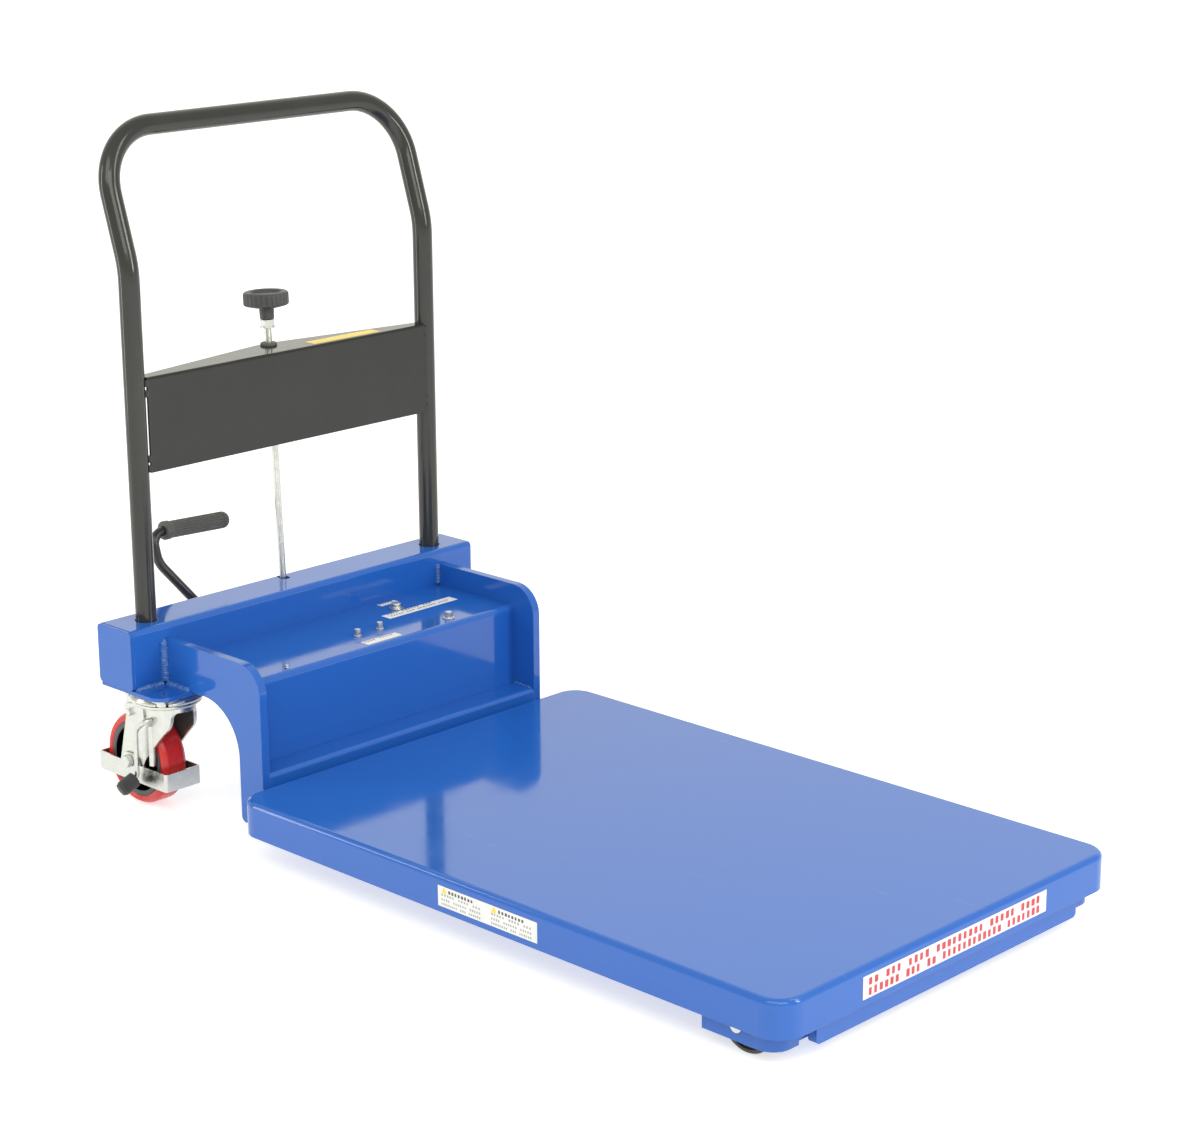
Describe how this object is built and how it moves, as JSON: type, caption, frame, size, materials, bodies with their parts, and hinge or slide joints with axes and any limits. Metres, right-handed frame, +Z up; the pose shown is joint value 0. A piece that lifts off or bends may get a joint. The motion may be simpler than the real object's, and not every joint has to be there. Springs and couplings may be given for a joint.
{
  "type": "scissor lift platform cart",
  "caption": "Low flat-deck platform cart whose deck rises on foot-pumped hydraulic scissor arms, with a fixed push handle, braked swivel casters behind and small rollers in front.",
  "frame": {"origin": "on the floor, under the middle of the overall length and width", "axes": "+X from the push handle towards the deck's front, +Y to the left, +Z up"},
  "size_m": [1.2915, 0.6342, 0.9185],
  "materials": {
    "frame_paint": "gloss blue powder coat",
    "handle_paint": "gloss dark grey powder coat",
    "pedal_paint": "satin black paint",
    "pump_paint": "satin black paint on castings",
    "zinc": "bright zinc plate",
    "brake_zinc": "bright zinc plate with a black rubber pad",
    "polished_rod": "hard chrome, oiled",
    "roller_steel": "turned steel",
    "black_plastic": "satin moulded",
    "black_rubber": "matte moulded rubber",
    "red_tread": "satin cast polyurethane",
    "label_white": "satin film",
    "label_yellow": "satin film"
  },
  "bodies": {
    "base": {"base_rail_left": "frame_paint", "base_rail_right": "frame_paint", "base_front_plate": "frame_paint", "base_cross_members": "frame_paint", "corner_bracket_left": "frame_paint", "corner_bracket_right": "frame_paint", "side_plate_left": "frame_paint", "side_plate_right": "frame_paint", "rear_beam": "frame_paint", "beam_end_caps": "frame_paint", "caster_mount_left": "frame_paint", "caster_mount_right": "frame_paint", "caster_plate_left": "zinc", "caster_plate_right": "zinc", "caster_bolts": "zinc", "pump_cover": "frame_paint", "cover_crossbar": "frame_paint", "cover_fittings": "zinc", "handle_frame": "handle_paint", "handle_panel": "handle_paint", "panel_grommet": "black_rubber", "pump_block": "pump_paint", "oil_reservoir": "pump_paint", "oil_pipe": "zinc", "base_pins": "zinc", "base_labels": "label_white", "panel_label": "label_yellow"},
    "deck": {"deck_platform": "frame_paint", "deck_framework": "frame_paint", "deck_pins": "zinc", "deck_labels": "label_white"},
    "outer_arms": {"leg_outer_left": "frame_paint", "leg_outer_right": "frame_paint", "upper_roller_shaft": "zinc", "centre_pins": "zinc"},
    "inner_arms": {"leg_inner_left": "frame_paint", "leg_inner_right": "frame_paint", "inner_cross_tubes": "frame_paint", "lower_roller_pins": "zinc"},
    "top_rollers": {"upper_rollers": "roller_steel"},
    "bottom_rollers": {"lower_rollers": "roller_steel"},
    "barrel": {"cylinder_barrel": "pump_paint"},
    "ram": {"cylinder_rod": "polished_rod"},
    "pedal": {"pedal_arm": "pedal_paint", "pedal_grip": "black_rubber"},
    "plunger": {"pump_plunger": "polished_rod"},
    "release": {"release_rod": "zinc", "release_knob": "black_plastic"},
    "front_roller_left": {"load_roller_left": "black_plastic"},
    "front_roller_right": {"load_roller_right": "black_plastic"},
    "caster_left": {"caster_fork_left": "zinc", "toe_guard_left": "zinc"},
    "wheel_left": {"wheel_core_left": "black_plastic", "wheel_tread_left": "red_tread"},
    "brake_left": {"brake_lever_left": "brake_zinc"},
    "caster_right": {"caster_fork_right": "zinc", "toe_guard_right": "zinc"},
    "wheel_right": {"wheel_core_right": "black_plastic", "wheel_tread_right": "red_tread"},
    "brake_right": {"brake_lever_right": "brake_zinc"}
  },
  "joints": [
    {"name": "lift", "type": "hinge", "parent": "base", "child": "outer_arms", "pos_m": [-0.2087, 0, 0.042], "axis": [0, -1, 0], "range_deg": [0, 50]},
    {"name": "scissor", "type": "hinge", "parent": "outer_arms", "child": "inner_arms", "pos_m": [0.19115, 0, 0.053], "axis": [0, -1, 0], "range_deg": [-100, 0]},
    {"name": "platform", "type": "hinge", "parent": "inner_arms", "child": "deck", "pos_m": [-0.2087, 0, 0.064], "axis": [0, -1, 0], "range_deg": [0, 50]},
    {"name": "top_roller_spin", "type": "hinge", "parent": "outer_arms", "child": "top_rollers", "pos_m": [0.591, 0, 0.064], "axis": [0, 1, 0], "continuous": true},
    {"name": "bottom_roller_spin", "type": "hinge", "parent": "inner_arms", "child": "bottom_rollers", "pos_m": [0.591, 0, 0.042], "axis": [0, 1, 0], "continuous": true},
    {"name": "cylinder_tilt", "type": "hinge", "parent": "base", "child": "barrel", "pos_m": [0.4713, 0, 0.042], "axis": [0, 1, 0], "range_deg": [0, 38.36]},
    {"name": "ram_slide", "type": "slide", "parent": "barrel", "child": "ram", "axis": [-0.9994, 0, 0.0343], "range_m": [0, 0.248]},
    {"name": "pedal_push", "type": "hinge", "parent": "base", "child": "pedal", "pos_m": [-0.5187, -0.05, 0.15], "axis": [0, -1, 0], "range_deg": [0, 35], "stiffness_Nm_per_rad": 3, "springref_deg": -20.05},
    {"name": "plunger_stroke", "type": "slide", "parent": "base", "child": "plunger", "axis": [1, 0, 0], "range_m": [0, 0.0151]},
    {"name": "release_turn", "type": "hinge", "parent": "base", "child": "release", "pos_m": [-0.5357, 0, 0.2604], "axis": [-0.0368, 0, 0.9993], "range_deg": [0, 90]},
    {"name": "front_roller_spin_left", "type": "hinge", "parent": "base", "child": "front_roller_left", "pos_m": [0.5737, 0.271, 0.038], "axis": [0, 1, 0], "continuous": true},
    {"name": "caster_swivel_left", "type": "hinge", "parent": "base", "child": "caster_left", "pos_m": [-0.4807, 0.2515, 0.165], "axis": [0, 0, 1], "continuous": true},
    {"name": "wheel_spin_left", "type": "hinge", "parent": "caster_left", "child": "wheel_left", "pos_m": [-0.5307, 0.2515, 0.0635], "axis": [0, 1, 0], "continuous": true},
    {"name": "brake_press_left", "type": "hinge", "parent": "caster_left", "child": "brake_left", "pos_m": [-0.4827, 0.28, 0.132], "axis": [0, -1, 0], "range_deg": [0, 15]},
    {"name": "front_roller_spin_right", "type": "hinge", "parent": "base", "child": "front_roller_right", "pos_m": [0.5737, -0.271, 0.038], "axis": [0, 1, 0], "continuous": true},
    {"name": "caster_swivel_right", "type": "hinge", "parent": "base", "child": "caster_right", "pos_m": [-0.4807, -0.2515, 0.165], "axis": [0, 0, 1], "continuous": true},
    {"name": "wheel_spin_right", "type": "hinge", "parent": "caster_right", "child": "wheel_right", "pos_m": [-0.5307, -0.2515, 0.0635], "axis": [0, 1, 0], "continuous": true},
    {"name": "brake_press_right", "type": "hinge", "parent": "caster_right", "child": "brake_right", "pos_m": [-0.4827, -0.28, 0.132], "axis": [0, -1, 0], "range_deg": [0, 15]}
  ],
  "couplings": [
    {"joint": "scissor", "follows": "lift", "ratio": -2},
    {"joint": "platform", "follows": "lift", "ratio": 1},
    {"joint": "cylinder_tilt", "follows": "lift", "ratio": 0.76518},
    {"joint": "ram_slide", "follows": "lift", "m_per_rad": 0.2836},
    {"joint": "plunger_stroke", "follows": "pedal_push", "m_per_rad": 0.0245}
  ]
}
